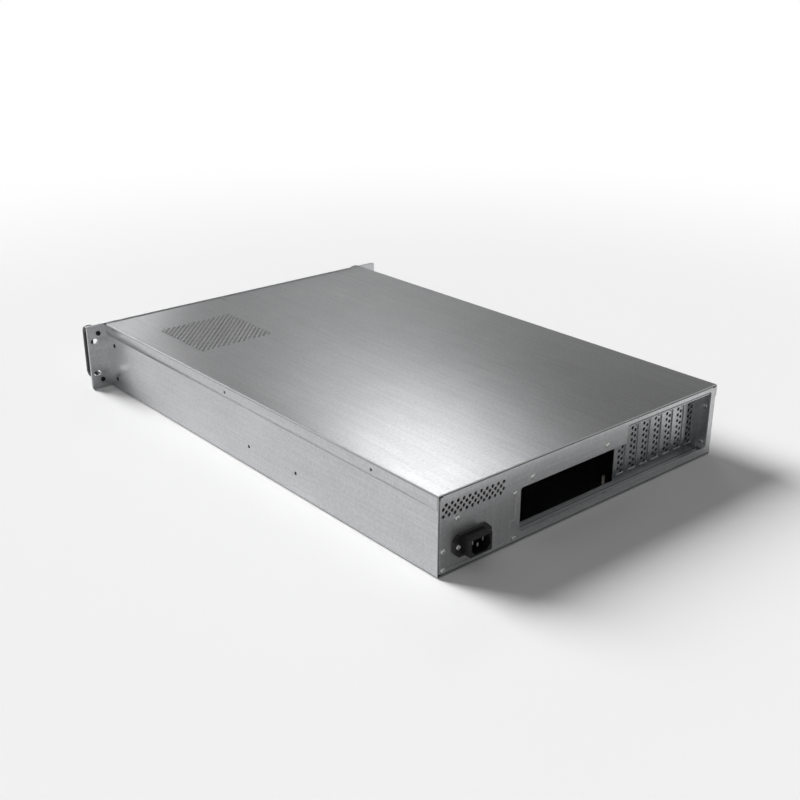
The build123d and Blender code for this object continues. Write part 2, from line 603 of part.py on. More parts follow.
def psu_bracket():
    """Upright plate for the internal power supply, with a foot on the floor."""
    low, high = PSU_BRACKET_X
    outer = block((low, high), (PSU_BRACKET_Y, PSU_BRACKET_Y + 14.0), (SHEET, PSU_BRACKET_TOP))
    outer = fillet(outer.edges().filter_by(Axis.X).group_by(Axis.Y)[0].group_by(Axis.Z)[0], BEND + SHEET)
    inner = block((low - 1, high + 1), (PSU_BRACKET_Y + SHEET, PSU_BRACKET_Y + 15.0), (2 * SHEET, PSU_BRACKET_TOP + 1))
    plate = outer - inner
    x, z = PSU_CENTRE
    plate -= Pos(x, PSU_BRACKET_Y, z) * Box(PSU_OPEN[0], 6, PSU_OPEN[1])
    for dx in (-PSU_HOLES[0] / 2, PSU_HOLES[0] / 2):
        for dz in (-PSU_HOLES[1] / 2, PSU_HOLES[1] / 2):
            plate -= rod_y(x + dx, (PSU_BRACKET_Y - 1, PSU_BRACKET_Y + 3), z + dz, PSU_HOLE_R)
    return plate


def drive_cage():
    """Folded channel for two drives, one over the other, with feet on the floor."""
    half = CAGE_INNER / 2 + SHEET
    outer = block((CAGE_X - half, CAGE_X + half), CAGE_Y, (SHEET, SHEET + CAGE_H))
    outer = fillet(outer.edges().filter_by(Axis.Y).group_by(Axis.Z)[-1], BEND + SHEET)
    hollow = block((CAGE_X - half + SHEET, CAGE_X + half - SHEET), (CAGE_Y[0] - 1, CAGE_Y[1] + 1), (0, CAGE_H))
    cage = outer - hollow
    for side in (1, -1):
        edge = CAGE_X + side * (half - SHEET)
        cage += block((edge, edge + side * CAGE_FOOT), CAGE_Y, (SHEET, 2 * SHEET))
    for y in (CAGE_Y[0] + 40.0, CAGE_Y[1] - 40.0):
        for z in CAGE_SLOT_Z:
            slot = Box(CAGE_INNER + 20, CAGE_SLOT[0], CAGE_SLOT[1])
            cage -= Pos(CAGE_X, y, SHEET + z) * slot
    return cage


def button(z, r):
    """Round button cap with a flange behind the panel and a stem to its switch."""
    outer = FRONT_Y - PANEL_T - BUTTON_PROUD
    cap = rod_y(CONTROL_X, (outer, FRONT_Y + 2.5), z, r)
    cap = chamfer(cap.edges().group_by(Axis.Y)[0], 0.5)
    cap += rod_y(CONTROL_X, (FRONT_Y + SEAM, FRONT_Y + 2.5), z, r + 1.5)
    cap += rod_y(CONTROL_X, (FRONT_Y + 2.5, CONTROL_BOARD_Y - 5.0 - BUTTON_TRAVEL - 0.1), z, 1.5)
    return cap


def control_board():
    """Small board behind the panel with the two switches."""
    board = block((CONTROL_X - 19, CONTROL_X + 19), (CONTROL_BOARD_Y, CONTROL_BOARD_Y + BOARD_T), (USB_Z - 7, POWER_Z + 11))
    for z in (POWER_Z, RESET_Z):
        board += Pos(CONTROL_X, CONTROL_BOARD_Y - 2.5, z) * Box(6, 5, 6)
    return board


def control_spacers():
    """Two round spacers that hold the control board behind the panel."""
    span = (FRONT_Y, CONTROL_BOARD_Y)
    return Compound(children=[rod_y(x, span, z, SPACER_R).solid() for x, z in SPACER_SPOTS])


def usb_sockets():
    """Two metal socket shells with their tongues, seated on the board."""
    width, height, deep = USB_SIZE
    shells = []
    for x in usb_spots():
        front = CONTROL_BOARD_Y - deep - 2.0
        shell = block((x - width / 2, x + width / 2), (front, CONTROL_BOARD_Y), (USB_Z - height / 2, USB_Z + height / 2))
        shell -= block((x - width / 2 + 0.5, x + width / 2 - 0.5), (front - 1, front + 11), (USB_Z - 2.35, USB_Z + 2.35))
        shell += block((x - 5.5, x + 5.5), (front + 1, front + 12), (USB_Z + 0.2, USB_Z + 2.0))
        shells.append(shell.solid())
    return Compound(children=shells)


def led_lenses():
    """Two clear lenses pressed into the panel."""
    lenses = []
    for z in LED_Z:
        lens = rod_y(LED_X, (FRONT_Y - PANEL_T - 0.8, CONTROL_BOARD_Y), z, LED_R)
        lens = chamfer(lens.edges().group_by(Axis.Y)[0], 0.5)
        lenses.append(lens.solid())
    return Compound(children=lenses)


NODES = {
    "chassis_tray": chassis_tray(),
    "top_cover": top_cover(),
    "rear_wall": rear_wall(),
    "io_panel": io_panel(),
    "slot_screws": slot_screws(),
    "psu_plate": psu_plate(),
    "plate_screws": plate_screws(),
    "mains_inlet": mains_inlet(),
    "inlet_pins": inlet_pins(),
    "inlet_screws": inlet_screws(),
    "recess_rivets": recess_rivets(),
    "front_panel": front_panel(),
    "front_bracket_left": front_bracket(1),
    "front_bracket_right": front_bracket(-1),
    "front_crossbar": front_crossbar(),
    "side_screws": side_screws(),
    "handle_left": handle(1),
    "handle_right": handle(-1),
    "handle_screws": handle_screws(),
    "board_standoffs": board_standoffs(),
    "psu_bracket": psu_bracket(),
    "drive_cage": drive_cage(),
    "power_button": button(POWER_Z, POWER_R),
    "reset_button": button(RESET_Z, RESET_R),
    "control_board": control_board(),
    "control_spacers": control_spacers(),
    "usb_sockets": usb_sockets(),
    "led_lenses": led_lenses(),
}
for index in range(SLOT_COUNT):
    NODES[f"slot_cover_{index + 1}"] = slot_cover(index)

for name, shape in NODES.items():
    export_step(shape, f"parts/{name}.step")
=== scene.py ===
import math

import bpy
import numpy as np
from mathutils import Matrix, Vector
from mathutils.geometry import delaunay_2d_cdt


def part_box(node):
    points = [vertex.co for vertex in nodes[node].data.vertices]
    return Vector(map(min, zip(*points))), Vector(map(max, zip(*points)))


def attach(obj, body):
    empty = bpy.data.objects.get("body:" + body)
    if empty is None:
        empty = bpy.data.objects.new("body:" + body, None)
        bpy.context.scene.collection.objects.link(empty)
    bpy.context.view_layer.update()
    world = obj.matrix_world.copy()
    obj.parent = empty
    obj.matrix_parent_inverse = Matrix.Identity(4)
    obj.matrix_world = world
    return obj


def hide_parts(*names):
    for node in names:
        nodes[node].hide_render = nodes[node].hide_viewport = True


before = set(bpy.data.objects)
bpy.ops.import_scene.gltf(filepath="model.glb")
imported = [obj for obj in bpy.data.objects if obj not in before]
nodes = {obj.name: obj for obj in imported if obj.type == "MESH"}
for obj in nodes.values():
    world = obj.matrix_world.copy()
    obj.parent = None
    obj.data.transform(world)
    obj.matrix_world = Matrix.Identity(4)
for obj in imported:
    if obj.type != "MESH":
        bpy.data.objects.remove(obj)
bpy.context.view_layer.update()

# Chassis tray. Floor and side walls are one 1.2 mm sheet of electro-galvanised steel, folded up on a
# press brake, and everything else is fixed to it. The zinc is left bare: it mirrors the room softly,
# with fine rolling lines, cloudy patches and small round marks where brackets are spot welded inside.
MM = 0.001
# The third colour is painted shade for the folds: darker than the zinc, to dull the lamps' highlight on each
# bend.
ZINC_LIGHT, ZINC_DARK, ZINC_FOLD_SHADE = "#c5c6c7", "#b5b6b8", "#77787a"
ROUGH_LIGHT, ROUGH_DARK, ROUGH_STRETCHED = 0.28, 0.31, 0.68
ZINC_TURNS = (1.1, 1.9)   # where the sum of the three noises passes from dark to light
FOLD_TURNS = (0.9, 0.999)  # the largest part of a face's normal: 1 on flat faces, less round a fold
ROLLING_ACROSS = 2.6      # mm between rolling lines; the real ones are far finer and wouldn't show
ROLLING_ALONG = 90.0
ROLLING_DEPTH = 0.012
CLOUD = 85.0              # mm across a cloudy patch
GRAIN = 3.0
WAVE = 170.0              # mm from crest to crest of the sheet's slight unevenness
WAVE_DEPTH = 0.9
WELD_RADIUS = 2.6
WELD_DEPTH = 0.06
EDGE_RADIUS = 0.4


def linear(code):
    """sRGB hex colour as linear red, green, blue and alpha."""
    srgb = np.array([int(code[i:i + 2], 16) for i in (1, 3, 5)]) / 255
    return (*np.where(srgb <= 0.04045, srgb / 12.92, ((srgb + 0.055) / 1.055) ** 2.4), 1.0)


def add(tree, kind, links=(), **settings):
    """Adds one shader node with its settings. Links pairs an input with a constant or with the output of
    another node."""
    node = tree.nodes.new("ShaderNode" + kind)
    for key, value in settings.items():
        setattr(node, key, value)
    for name, value in links:
        if isinstance(value, bpy.types.NodeSocket):
            tree.links.new(value, node.inputs[name])
        else:
            node.inputs[name].default_value = value
    return node


def noise(tree, place, size, detail, roughness=0.5):
    """Noise whose largest features are about a size in millimetres."""
    return add(tree, "TexNoise", [("Vector", place), ("Scale", 1 / (size * MM)), ("Detail", detail),
                                  ("Roughness", roughness)]).outputs["Fac"]


def mapped(tree, value, source=(0.0, 1.0), target=(0.0, 1.0), smooth=False):
    """A value carried from one range to another, evenly or with eased ends."""
    links = zip(("Value", "From Min", "From Max", "To Min", "To Max"), (value, *source, *target))
    return add(tree, "MapRange", links, interpolation_type="SMOOTHSTEP" if smooth else "LINEAR").outputs[0]


def blend(tree, share, first, second):
    """The colour at a share of the way between two; each is a hex code or another node's output."""
    first, second = [linear(colour) if isinstance(colour, str) else colour for colour in (first, second)]
    return add(tree, "Mix", [(0, share), (6, first), (7, second)], data_type="RGBA").outputs[2]


def reckoned(tree, operation, first, second):
    """Two values added, compared or the like."""
    return add(tree, "Math", [(0, first), (1, second)], operation=operation).outputs[0]


def raised(tree, height, depth, strength, normal=None):
    """A normal that leans as a surface would whose height varies by a depth in millimetres."""
    links = [("Height", height), ("Distance", depth * MM), ("Strength", strength)]
    return add(tree, "Bump", links if normal is None else [*links, ("Normal", normal)]).outputs[0]


def blank_material(name):
    """New material with its tree, the object coordinates, the shader and the output joined up."""
    material = bpy.data.materials.new(name)
    material.use_nodes = True
    tree = material.node_tree
    tree.nodes.clear()
    place = add(tree, "TexCoord").outputs["Object"]
    shader = add(tree, "BsdfPrincipled")
    add(tree, "OutputMaterial", [("Surface", shader.outputs["BSDF"])])
    return material, tree, place, shader


def wire(tree, shader, colour, rough=None, normal=None):
    """Joins what has been worked out to the shader."""
    for name, value in (("Base Color", colour), ("Roughness", rough), ("Normal", normal)):
        if value is not None:
            tree.links.new(value, shader.inputs[name])


def dress(node_names, material):
    """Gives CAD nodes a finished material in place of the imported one."""
    for name in node_names:
        nodes[name].data.materials.clear()
        nodes[name].data.materials.append(material)


def zinc_sheet(name, rolled, welds=()):
    """Electro-galvanised steel sheet, rolled along one axis. The base colour and roughness drift with cloudy
    patches, rolling lines and grain. Round a fold it is matt, and its colour is darker there as painted shade
    that dulls the lamps' highlight on the bend. The normal leans with the sheet's long waves, the lines and a
    shallow ring at each weld mark."""
    material, tree, place, shader = blank_material(name)
    stretch = [1 / (ROLLING_ACROSS * MM)] * 3
    stretch["xyz".index(rolled)] = 1 / (ROLLING_ALONG * MM)
    lined = add(tree, "Mapping", [("Vector", place), ("Scale", stretch)]).outputs[0]
    lines = add(tree, "TexNoise", [("Vector", lined), ("Scale", 1.0), ("Detail", 1.0)]).outputs["Fac"]
    shade = reckoned(tree, "ADD", noise(tree, place, CLOUD, 4.0, 0.6), lines)
    shade = reckoned(tree, "ADD", shade, noise(tree, place, GRAIN, 0.0))
    colour = blend(tree, mapped(tree, shade, ZINC_TURNS), ZINC_DARK, ZINC_LIGHT)
    rough = mapped(tree, shade, ZINC_TURNS, (ROUGH_DARK, ROUGH_LIGHT))
    facing = add(tree, "NewGeometry").outputs["True Normal"]
    facing = add(tree, "VectorMath", [(0, facing)], operation="ABSOLUTE").outputs[0]
    facing = add(tree, "SeparateXYZ", [("Vector", facing)]).outputs
    square = reckoned(tree, "MAXIMUM", facing["X"], facing["Y"])
    square = reckoned(tree, "MAXIMUM", square, facing["Z"])
    # Painted shade: round each fold the base colour is darkened, which dulls the lamps' highlight on the
    # bend; the roughness also rises there.
    fold_shade_and_matt = mapped(tree, square, FOLD_TURNS, (1.0, 0.0))
    colour = blend(tree, fold_shade_and_matt, colour, ZINC_FOLD_SHADE)
    rough = add(tree, "Mix", [(0, fold_shade_and_matt), (2, rough), (3, ROUGH_STRETCHED)]).outputs[0]
    edge = add(tree, "Bevel", [("Radius", EDGE_RADIUS * MM)], samples=4).outputs[0]
    normal = raised(tree, noise(tree, place, WAVE, 0.0), WAVE_DEPTH, 0.5, edge)
    normal = raised(tree, lines, ROLLING_DEPTH, 0.5, normal)
    for weld in welds:
        away = add(tree, "VectorMath", [(0, place), (1, [a * MM for a in weld])], operation="DISTANCE")
        ring = mapped(tree, away.outputs["Value"], (0.6 * WELD_RADIUS * MM, WELD_RADIUS * MM), smooth=True)
        normal = raised(tree, ring, WELD_DEPTH, 1.0, normal)
    shader.inputs["Metallic"].default_value = 1.0
    wire(tree, shader, colour, rough, normal)
    return material


tray_low, tray_high = [np.array(corner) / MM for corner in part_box("chassis_tray")]
FRONT = tray_low[1]
WALL_X = tray_high[0]
WELDS_Y_Z = ((330.0, 66.0), (330.0, 20.0), (-255.0, 66.0))
tray_welds = [(side * WALL_X, y, z) for side in (1, -1) for y, z in WELDS_Y_Z]
dress(["chassis_tray"], zinc_sheet("electro-galvanised steel, folded tray", "y", tray_welds))

# Rear wall. A punched sheet with its flanges folded forwards: four staggered rows of round vents, a
# stepped cut-out for the power supply and the stepped window in front of the recessed card panel.
# The solid has four-sided punches, so a sheet with round ones takes its place.
SHEET = 1.2
BEND = 0.8                # mm, inside radius of every fold
BEND_CUTS = 7             # lines across the blank at each fold, where it bends
VENT_SIDES = 14
VENT_RADIUS = 2.0         # mm; a little wider than the solid's punches, as the photograph shows them
VENT_PITCH = 7.5
VENT_STEP = 3.75          # mm from row to row
VENTS_MIDDLE = (167.5, 69.0)
WINDOW = ((103.8, 10.5), (103.8, 59.5), (-57.5, 59.5), (-57.5, 80.0), (-205.6, 80.0), (-205.6, 10.5))
SUPPLY = ((203.0, 6.0), (203.0, 53.0), (110.0, 53.0), (110.0, 27.0), (117.0, 27.0), (117.0, 6.0))
PLATE_SCREWS = ((207.0, 7.2), (207.0, 27.6), (189.5, 57.0), (112.4, 57.0), (111.9, 6.8))
WALL_RIVETS = ((87.8, 67.0), (-25.5, 67.0))
WINDOW_CORNER = 3.0
SUPPLY_CORNER = 1.0
PLATE_SCREW_HOLE = 1.7
RIVET_HOLE = 1.65
FOLD_WIDTH = 13.0
RELIEF = 5.0              # mm from a corner to the end of each flange
FOOT_END = 109.5          # mm across, where the foot under the power supply ends


def inside(points, loop):
    """True for points inside a closed loop: a ray to the right crosses its sides an odd number of times."""
    x, y = points[:, 0, None], points[:, 1, None]
    x0, y0 = np.asarray(loop, float).T
    x1, y1 = np.roll(x0, -1), np.roll(y0, -1)
    spans = (y0 > y) != (y1 > y)
    with np.errstate(divide="ignore", invalid="ignore"):
        crossing = x0 + (y - y0) * (x1 - x0) / (y1 - y0)
    return (spans & (x < crossing)).sum(axis=1) % 2 == 1


def rounded(corners, radius, steps=5):
    """Closed loop with arcs at its corners. Each arc's middle lies on the corner's bisector, at
    radius / sin(half the angle)."""
    at = np.asarray(corners, float)
    back, ahead = np.roll(at, 1, axis=0) - at, np.roll(at, -1, axis=0) - at
    back /= np.linalg.norm(back, axis=1, keepdims=True)
    ahead /= np.linalg.norm(ahead, axis=1, keepdims=True)
    half = np.arccos(np.clip((back * ahead).sum(axis=1), -1, 1)) / 2
    bisector = back + ahead
    bisector /= np.linalg.norm(bisector, axis=1, keepdims=True)
    middle = at + bisector * (radius / np.sin(half))[:, None]
    reach = (radius / np.tan(half))[:, None]
    first, last = at + back * reach - middle, at + ahead * reach - middle
    start = np.arctan2(first[:, 1], first[:, 0])
    turn = (np.arctan2(last[:, 1], last[:, 0]) - start + math.pi) % (2 * math.pi) - math.pi
    angle = start[:, None] + turn[:, None] * np.linspace(0, 1, steps)
    return (middle[:, None] + radius * np.stack([np.cos(angle), np.sin(angle)], axis=2)).reshape(-1, 2)


def staggered(rows, count, pitch, step):
    """Centres of a perforated field about its own middle, every other row moved half a pitch."""
    row, hole = np.mgrid[0:rows, 0:count].astype(float)
    across = (hole - (count - 1) / 2) * pitch + np.where(row % 2 == 0, -pitch / 4, pitch / 4)
    return np.stack([across, (row - (rows - 1) / 2) * step], axis=2).reshape(-1, 2)


def sheared_steel(name):
    """Bare steel where the sheet was cut: matt, paler than the zinc, with the tear marks of the punch."""
    material, tree, place, shader = blank_material(name)
    tears = noise(tree, place, 1.5, 2.0)
    shader.inputs["Metallic"].default_value = 0.55
    wire(tree, shader, blend(tree, tears, "#b8b7b5", "#e2e1df"), mapped(tree, tears, target=(0.45, 0.65)))
    return material


def add_mesh(name, points, faces, material, body, smooth_under=35.0, cut_edge=None):
    """Puts points in millimetres and lists of faces into a mesh object that rides on a CAD body. Faces that
    lie square to an axis are the flat ones, and every other face is shaded as part of a round form. On a
    punched sheet the four-sided faces are its cut edges, and they take a material of their own."""
    mesh = bpy.data.meshes.new(name)
    mesh.from_pydata((np.asarray(points) * MM).tolist(), [], faces)
    normals = np.empty(3 * len(mesh.polygons))
    mesh.polygons.foreach_get("normal", normals)
    mesh.polygons.foreach_set("use_smooth", np.abs(normals.reshape(-1, 3)).max(axis=1) < 0.9999)
    mesh.set_sharp_from_angle(angle=math.radians(smooth_under))
    mesh.materials.append(material)
    if cut_edge:
        mesh.materials.append(cut_edge)
        mesh.polygons.foreach_set("material_index", [int(len(face) == 4) for face in faces])
    piece = bpy.data.objects.new(name, mesh)
    bpy.context.scene.collection.objects.link(piece)
    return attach(piece, body)


def cut_blank(outline, windows, holes, folds, quarter):
    """Corners (a, b) and triangles of a flat blank, cut between its outline, windows and round holes
    (a, b, radius), and along the lines at which each of its folds (axis, line, way) bends."""
    angle = np.arange(VENT_SIDES) * 2 * math.pi / VENT_SIDES
    rings = holes[:, None, :2] + holes[:, None, 2:] * np.stack([np.cos(angle), np.sin(angle)], axis=1)
    points, edges, first = [], [], 0
    for loop in [np.asarray(loop, float) for loop in (outline, *windows)] + list(rings):
        index = np.arange(len(loop))
        edges.append(np.stack([index, np.roll(index, -1)], axis=1) + first)
        points.append(loop)
        first += len(loop)
    beyond = np.abs(points[0]).max() + 50
    for axis, line, way in folds:
        for part in np.linspace(0, quarter, BEND_CUTS):
            ends = np.full((2, 2), line + way * part)
            ends[:, 1 - axis] = (-beyond, beyond)
            points.append(ends)
            edges.append(np.array([[first, first + 1]]))
            first += 2
    flat = [Vector(p) for p in np.concatenate(points).tolist()]
    made = delaunay_2d_cdt(flat, np.concatenate(edges).tolist(), [], 0, 1e-5, False)
    spots, triangles = np.array([tuple(v) for v in made[0]]), np.array(made[2])
    corners = spots[triangles]
    middles = corners.mean(axis=1)
    kept = inside(middles, outline)
    for window in windows:
        kept &= ~inside(middles, window)
    for some in np.array_split(holes, max(1, len(holes) // 40)):
        away = np.hypot(middles[:, None, 0] - some[:, 0], middles[:, None, 1] - some[:, 1])
        kept &= ~(away < some[:, 2] * math.cos(math.pi / VENT_SIDES)).any(axis=1)
    first_side, second_side = corners[:, 1] - corners[:, 0], corners[:, 2] - corners[:, 0]
    area = first_side[:, 0] * second_side[:, 1] - first_side[:, 1] * second_side[:, 0]
    kept &= np.abs(area) > 1e-6
    triangles = np.where((area > 0)[:, None], triangles, triangles[:, ::-1])[kept]
    used, triangles = np.unique(triangles, return_inverse=True)
    return spots[used], triangles.reshape(-1, 3)


def folded_sheet(outline, windows, holes, folds, thickness=SHEET):
    """Punched and folded sheet, as points (a, b, depth below the outer face) and faces.
    A second layer one thickness below the flat blank and a wall along each cut edge close it. A fold
    (axis, line, way) carries what lies beyond its line round an arc: s past the line and w deep, a point
    turns by s / neutral radius at R - w from the bend's middle, and what is left after a quarter turn goes
    straight down."""
    outer_bend = BEND + thickness
    neutral = BEND + thickness / 2
    quarter = neutral * math.pi / 2
    spots, triangles = cut_blank(outline, windows, np.asarray(holes, float).reshape(-1, 3), folds, quarter)
    count = len(spots)
    sides = np.concatenate([triangles[:, [0, 1]], triangles[:, [1, 2]], triangles[:, [2, 0]]])
    key = np.sort(sides, axis=1) @ np.array([count, 1])
    _, where, times = np.unique(key, return_index=True, return_counts=True)
    rim = sides[where[times == 1]]
    walls = np.stack([rim[:, 1], rim[:, 0], rim[:, 0] + count, rim[:, 1] + count], axis=1)
    faces = triangles.tolist() + (triangles[:, ::-1] + count).tolist() + walls.tolist()
    sheet = np.concatenate([np.insert(spots, 2, depth, axis=1) for depth in (0.0, thickness)])
    for axis, line, way in folds:
        past = way * (sheet[:, axis] - line)
        bent = past > 0
        turn = np.clip(past / neutral, 0, math.pi / 2)
        rest = np.clip(past - quarter, 0, None)
        radius = outer_bend - sheet[:, 2]
        sheet[:, axis] = np.where(bent, line + way * radius * np.sin(turn), sheet[:, axis])
        sheet[:, 2] = np.where(bent, outer_bend - radius * np.cos(turn) + rest, sheet[:, 2])
    return sheet, faces


def flange(width, thickness=SHEET):
    """Length of blank beyond a fold's line that makes a flange of this overall width."""
    return (BEND + thickness / 2) * math.pi / 2 + width - BEND - thickness


wall_low, wall_high = [np.array(corner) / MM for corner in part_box("rear_wall")]
REAR = wall_high[1]
left, right, low, high = wall_high[0], wall_low[0], wall_low[2], wall_high[2]
fold_line = BEND + SHEET
far = flange(FOLD_WIDTH) - fold_line
wall_outline = [
    (right, low), (FOOT_END, low), (FOOT_END, low - far), (left - RELIEF, low - far),
    (left - RELIEF, low + fold_line), (left - fold_line, low + fold_line), (left - fold_line, low + RELIEF),
    (left + far, low + RELIEF), (left + far, high - RELIEF), (left - fold_line, high - RELIEF),
    (left - fold_line, high - fold_line), (left - RELIEF, high - fold_line), (left - RELIEF, high + far),
    (right + RELIEF, high + far), (right + RELIEF, high - fold_line), (right, high - fold_line),
]
vents = staggered(4, 11, VENT_PITCH, VENT_STEP) * (-1, 1) + VENTS_MIDDLE
wall_holes = [*np.insert(vents, 2, VENT_RADIUS, axis=1), *((x, z, PLATE_SCREW_HOLE) for x, z in PLATE_SCREWS),
              *((x, z, RIVET_HOLE) for x, z in WALL_RIVETS)]
wall_folds = [(1, high - fold_line, 1), (0, -(left - fold_line), -1), (1, low + fold_line, -1)]
# The blank is seen from outside, from where +X lies to the left, so it is drawn with x turned round.
wall_loops = (wall_outline, rounded(WINDOW, WINDOW_CORNER), rounded(SUPPLY, SUPPLY_CORNER))
outline, *windows = [np.asarray(loop) * (-1, 1) for loop in wall_loops]
sheet, faces = folded_sheet(outline[::-1], windows, np.asarray(wall_holes) * (-1, 1, 1), wall_folds)
wall_points = np.stack([-sheet[:, 0], REAR - sheet[:, 2], sheet[:, 1]], axis=1)
rear_zinc = zinc_sheet("electro-galvanised steel, punched rear wall", "x")
cut_steel = sheared_steel("bare steel, sheared edges")
rear_wall = add_mesh("rear_wall_sheet", wall_points, faces, rear_zinc, "chassis", cut_edge=cut_steel)
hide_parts("rear_wall")

# Recessed panel. A second folded sheet 17 mm further in, with the motherboard window, the seven card
# slots, the ledge for their screws and feet that are riveted to the floor, the side and the rear wall.
dress(["io_panel"], zinc_sheet("electro-galvanised steel, recessed panel", "x"))

# Recess rivets. Six steel rivets with bright domed heads, set with a press, whose round tool leaves a
# shallow dimple in the middle of each head.
RIVET_HEAD = 3.0
RIVET_DOME = 0.9
RIVET_BODY = 1.6
RIVET_LENGTH = 2.4
DIMPLE = 1.0
RIVET_SIDES = 28
TIP = 0.05                # mm, radius at which a turned form's ends are closed


def turned(profile, spots, axis, steps, dent=None):
    """Turned pieces, all in one set of points. The profile's (radius, height) rings run round the axis
    that leaves each spot; dent lowers a ring's points by a depth worked out from their place on it."""
    profile = np.asarray(profile, float)
    angle = np.arange(steps) * 2 * math.pi / steps
    u = profile[:, :1] * np.cos(angle)
    v = profile[:, :1] * np.sin(angle)
    w = np.repeat(profile[:, 1:], steps, axis=1)
    if dent is not None:
        w = w - dent(u, v)
    axis = np.asarray(axis, float)
    across = np.array([0.0, 0.0, 1.0]) if abs(axis[2]) < 0.5 else np.array([1.0, 0.0, 0.0])
    other = np.cross(axis, across)
    shape = (u[..., None] * across + v[..., None] * other + w[..., None] * axis).reshape(-1, 3)
    ring = np.arange(len(profile) - 1)[:, None] * steps
    here, ahead = ring + np.arange(steps), ring + (np.arange(steps) + 1) % steps
    quads = np.stack([here, here + steps, ahead + steps, ahead], axis=2).reshape(-1, 4)
    caps = [list(range(steps)), list(range(len(shape) - 1, len(shape) - steps - 1, -1))]
    points = (np.asarray(spots, float)[:, None] + shape).reshape(-1, 3)
    one = (*quads.tolist(), *caps)
    return points, [(np.asarray(face) + i * len(shape)).tolist() for i in range(len(spots)) for face in one]


def joined(*parts):
    """Several sets of points and faces as one."""
    first, points, faces = 0, [], []
    for some, their in parts:
        points.append(some)
        faces += [[i + first for i in face] for face in their]
        first += len(some)
    return np.concatenate(points), faces


def bright_metal(name, scratch=0.35):
    """Bright plating or turned metal on small parts: a cool, nearly clear shine with slight mottling."""
    material, tree, place, shader = blank_material(name)
    mottle = noise(tree, place, 1.1, 3.0)
    shader.inputs["Metallic"].default_value = 1.0
    colour = blend(tree, mottle, "#b4b6b6", "#d8d8d4")
    wire(tree, shader, colour, mapped(tree, mottle, target=(0.16, scratch)))
    return material


dome = np.linspace(0, math.pi / 2, 7)
dome_ring = np.stack([DIMPLE + (RIVET_HEAD - DIMPLE) * np.sin(dome), RIVET_DOME * np.cos(dome)], axis=1)
rivet_profile = [(TIP, 0.62), (0.7, 0.66), (DIMPLE, RIVET_DOME), *dome_ring[1:], (RIVET_BODY, 0.0),
                 (RIVET_BODY, -RIVET_LENGTH), (TIP, -RIVET_LENGTH)]
tab_x = SHEET + 0.1 - (WALL_X - SHEET)
rivets = joined(
    turned(rivet_profile, [(x, REAR, z) for x, z in WALL_RIVETS], (0, 1, 0), RIVET_SIDES),
    turned(rivet_profile, [(x, REAR - 10.0, 2 * SHEET) for x in (-40.0, -170.0)], (0, 0, 1), RIVET_SIDES),
    turned(rivet_profile, [(tab_x, REAR - 9.8, z) for z in (12.6, 57.7)], (1, 0, 0), RIVET_SIDES),
)
rivet_zinc = bright_metal("bright zinc plating, rivets")
recess_rivets = add_mesh("recess_rivet_heads", *rivets, rivet_zinc, "chassis")
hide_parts("recess_rivets")

# Slot covers. Seven blank brackets of thinner sheet close the card slots. Each has two staggered rows
# of round vents, a narrowed tail at the floor, and a tab folded over the ledge with a notch for its screw.
BRACKET_SHEET = 0.9
BRACKET_PITCH = 7.2
BRACKET_STEP = 5.2
BRACKET_VENTS_MIDDLE = (0.0, 42.5)
TAIL_WIDTH = 10.2
TAIL_HEIGHT = 5.0
NOTCH = 1.7               # mm, half its width
NOTCH_DEPTH = 5.9         # mm from the tab's end to the middle of the notch's round end
bracket_zinc = zinc_sheet("electro-galvanised steel, slot covers", "z")
for index in range(1, 8):
    node = f"slot_cover_{index}"
    bracket_low, bracket_high = [np.array(corner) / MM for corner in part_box(node)]
    middle = (bracket_low[0] + bracket_high[0]) / 2
    half = (bracket_high[0] - bracket_low[0]) / 2
    foot = bracket_low[2]
    bend_from = bracket_high[2] - BEND - BRACKET_SHEET
    tab_end = bend_from + flange(bracket_high[1] - bracket_low[1], BRACKET_SHEET)
    round_end = np.linspace(math.pi, 0, 9)
    notch = np.stack([NOTCH * np.cos(round_end), tab_end - NOTCH_DEPTH - NOTCH * np.sin(round_end)], axis=1)
    outline = [
        (-TAIL_WIDTH / 2, foot), (TAIL_WIDTH / 2, foot), (TAIL_WIDTH / 2, foot + TAIL_HEIGHT),
        (half, foot + TAIL_HEIGHT), (half, tab_end), (NOTCH, tab_end), *notch[::-1].tolist(),
        (-NOTCH, tab_end), (-half, tab_end), (-half, foot + TAIL_HEIGHT),
        (-TAIL_WIDTH / 2, foot + TAIL_HEIGHT),
    ]
    field = staggered(2, 8, BRACKET_PITCH, BRACKET_STEP)[:, ::-1] + BRACKET_VENTS_MIDDLE
    holes = np.insert(field, 2, VENT_RADIUS, axis=1)
    sheet, faces = folded_sheet(outline, [], holes, [(1, bend_from, 1)], BRACKET_SHEET)
    points = np.stack([middle + sheet[:, 0], bracket_low[1] + sheet[:, 2], sheet[:, 1]], axis=1)
    bracket = add_mesh(f"slot_cover_sheet_{index}", points, faces, bracket_zinc, "chassis")
    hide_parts(node)

# Slot cover screws. Seven small hexagon-head machine screws of steel, bright zinc plated. Each clamps the
# tab of one slot cover to the ledge, under the cover.
dress(["slot_screws"], bright_metal("bright zinc plating, slot screws"))

# Adapter plate. A flat sheet behind the power supply cut-out that narrows it to one mains inlet, so the
# rear wall's cut edge stands in front of it as a thin stepped line.
dress(["psu_plate"], zinc_sheet("electro-galvanised steel, adapter plate", "z"))

# Adapter plate screws. Five M3 pan-head screws of steel with a cross recess, bright zinc plated. They go
# through the rear wall into the adapter plate behind it.
PAN_RADIUS = 2.9
PAN_HEIGHT = 1.9
M3 = 1.45                 # mm, radius of the shank
CROWN = 0.78              # of a head's radius: its flat dome, inside the rounded side
CROWN_RISE = 0.16         # of a head's height: how far the dome rises
HEAD_SIDES = 48
BLADE = 0.38              # mm, half the width of the cross's arms
ARM = 1.75                # mm from the middle to the end of an arm


